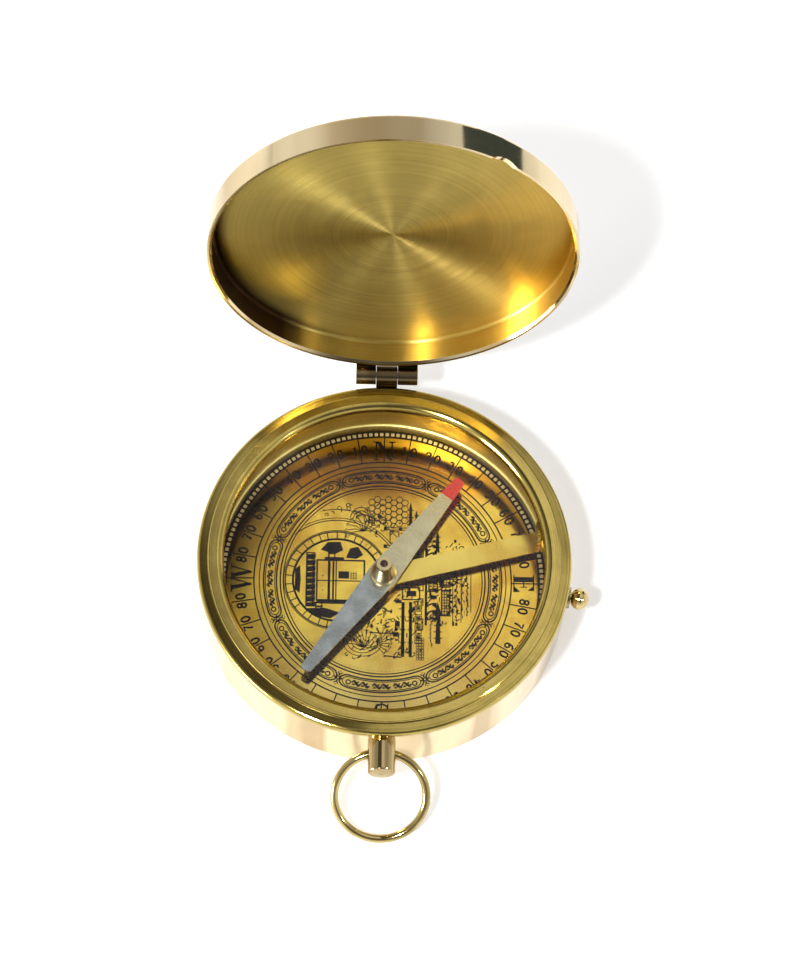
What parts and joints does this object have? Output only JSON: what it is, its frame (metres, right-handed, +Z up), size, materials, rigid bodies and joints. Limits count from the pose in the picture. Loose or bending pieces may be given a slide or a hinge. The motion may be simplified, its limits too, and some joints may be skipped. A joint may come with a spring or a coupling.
{
  "type": "ship compass",
  "caption": "Round lidded brass pocket ship compass with a printed dial under glass, a pivoted needle, a side knob needle lock and a pendant stem with a bail ring.",
  "frame": {"origin": "centre of the flat base of the case, on the surface it stands on", "axes": "+Z up out of the dial, +Y towards the hinge and the dial's north, +X towards the lock knob and the dial's east"},
  "size_m": [0.0799, 0.1169, 0.0937],
  "materials": {
    "case_brass": "mirror-polished pale brass",
    "bezel_brass": "satin lathe-turned olive-gold brass",
    "lid_brass": "spun brushed inside, polished outside",
    "dial_brass": "polished plate under clear lacquer",
    "dial_ink": "brown-black print on the dial",
    "turned_brass": "fine-turned brass",
    "needle_steel": "blued-grey steel with bright edges",
    "needle_red": "red enamel on the north end",
    "jewel": "polished synthetic ruby",
    "glass": "clear flat glass"
  },
  "bodies": {
    "case": {"case_shell": "case_brass", "dial_plate": "dial_brass", "pivot_post": "turned_brass", "pivot_pin": "needle_steel", "sleeve_ring": "bezel_brass", "glass": "glass", "bezel": "bezel_brass", "case_hinge_leaf": "case_brass", "hinge_pin": "needle_steel", "stem": "case_brass"},
    "lid": {"lid_shell": "lid_brass", "lid_hinge_leaf": "case_brass"},
    "bail": {"bail_ring": "case_brass"},
    "slider": {"lock_slider": "bezel_brass", "lock_knob": "case_brass", "knob_washer": "case_brass"},
    "arm": {"lock_arm": "turned_brass", "arm_studs": "turned_brass"},
    "jewel": {"cap_jewel": "jewel"},
    "needle": {"needle_blade": "needle_steel", "needle_cap": "turned_brass", "cap_collet": "turned_brass"}
  },
  "joints": [
    {"name": "lid_hinge", "type": "hinge", "parent": "case", "child": "lid", "pos_m": [0, 0.0403, 0.0179], "axis": [1, 0, 0], "range_deg": [0, 101.5]},
    {"name": "bail_swing", "type": "hinge", "parent": "case", "child": "bail", "pos_m": [0, -0.0403, 0.0126], "axis": [-1, 0, 0], "range_deg": [-60, 145]},
    {"name": "lock_turn", "type": "hinge", "parent": "case", "child": "slider", "pos_m": [0, 0, 0.0093], "axis": [0, 0, 1], "range_deg": [0, 12]},
    {"name": "arm_lift", "type": "slide", "parent": "case", "child": "arm", "axis": [0, 0, 1], "range_m": [0, 0.00081]},
    {"name": "needle_lift", "type": "slide", "parent": "case", "child": "jewel", "axis": [0, 0, 1], "range_m": [0, 0.00081]},
    {"name": "needle_spin", "type": "hinge", "parent": "jewel", "child": "needle", "pos_m": [0, 0, 0.0119], "axis": [0, 0, 1], "continuous": true}
  ],
  "couplings": [
    {"joint": "arm_lift", "follows": "lock_turn", "m_per_rad": 0.0038197},
    {"joint": "needle_lift", "follows": "lock_turn", "m_per_rad": 0.0038197}
  ]
}
